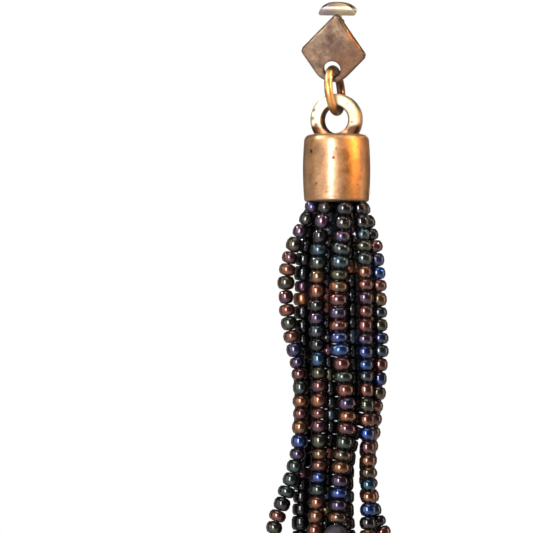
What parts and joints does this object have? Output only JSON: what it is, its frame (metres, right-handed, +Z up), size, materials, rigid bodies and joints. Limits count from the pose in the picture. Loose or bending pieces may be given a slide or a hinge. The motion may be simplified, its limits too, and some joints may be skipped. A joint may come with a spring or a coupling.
{
  "type": "beaded fringe earring",
  "caption": "Drop earring: diamond stud plate with a post and butterfly nut, a jump ring, and a barrel cap that gathers a fringe of seed bead strands.",
  "frame": {"origin": "on the post's axis, at the diamond plate's back face", "axes": "the plate faces -Y, the post runs back towards +Y and rises, +Z is up and the fringe hangs towards -Z"},
  "size_m": [0.0216, 0.0148, 0.0846],
  "materials": {
    "plate_metal": "antique copper plate, satin",
    "nut_metal": "stamped steel, bright",
    "ring_metal": "antique copper wire, polished",
    "cap_metal": "antique copper plate, brushed satin",
    "thread": "black beading thread set in glue",
    "seed_glass": "iris coated opaque glass",
    "end_bead_glass": "dark matt glass"
  },
  "bodies": {
    "stud": {"ear_stud": "plate_metal"},
    "nut": {"ear_nut": "nut_metal"},
    "ring": {"jump_ring": "ring_metal"},
    "drop": {"end_cap": "cap_metal", "thread_plug": "thread", "strand_01": "seed_glass", "strand_02": "seed_glass", "strand_03": "seed_glass", "strand_04": "seed_glass", "strand_05": "seed_glass", "strand_06": "seed_glass", "strand_07": "seed_glass", "strand_08": "seed_glass", "strand_09": "seed_glass", "strand_10": "seed_glass", "strand_11": "seed_glass", "strand_12": "seed_glass", "end_bead_01": "end_bead_glass", "end_bead_02": "end_bead_glass", "end_bead_03": "end_bead_glass", "end_bead_04": "end_bead_glass", "end_bead_05": "end_bead_glass", "end_bead_06": "end_bead_glass", "end_bead_07": "end_bead_glass", "end_bead_08": "end_bead_glass", "end_bead_09": "end_bead_glass", "end_bead_10": "end_bead_glass", "end_bead_11": "end_bead_glass", "end_bead_12": "end_bead_glass"}
  },
  "joints": [
    {"name": "ring_swing", "type": "hinge", "parent": "stud", "child": "ring", "pos_m": [-0.00028, 0.0016, -0.00408], "axis": [0.1822, 0.9833, 0], "range_deg": [-40, 20]},
    {"name": "drop_swing", "type": "hinge", "parent": "ring", "child": "drop", "pos_m": [-0.00002, 0.00156, -0.00712], "axis": [0.9795, -0.1815, 0.0872], "range_deg": [-45, 45]},
    {"name": "nut_slide", "type": "slide", "parent": "stud", "child": "nut", "axis": [0, 0.9511, 0.309], "range_m": [-0.0044, 0.0051]}
  ]
}
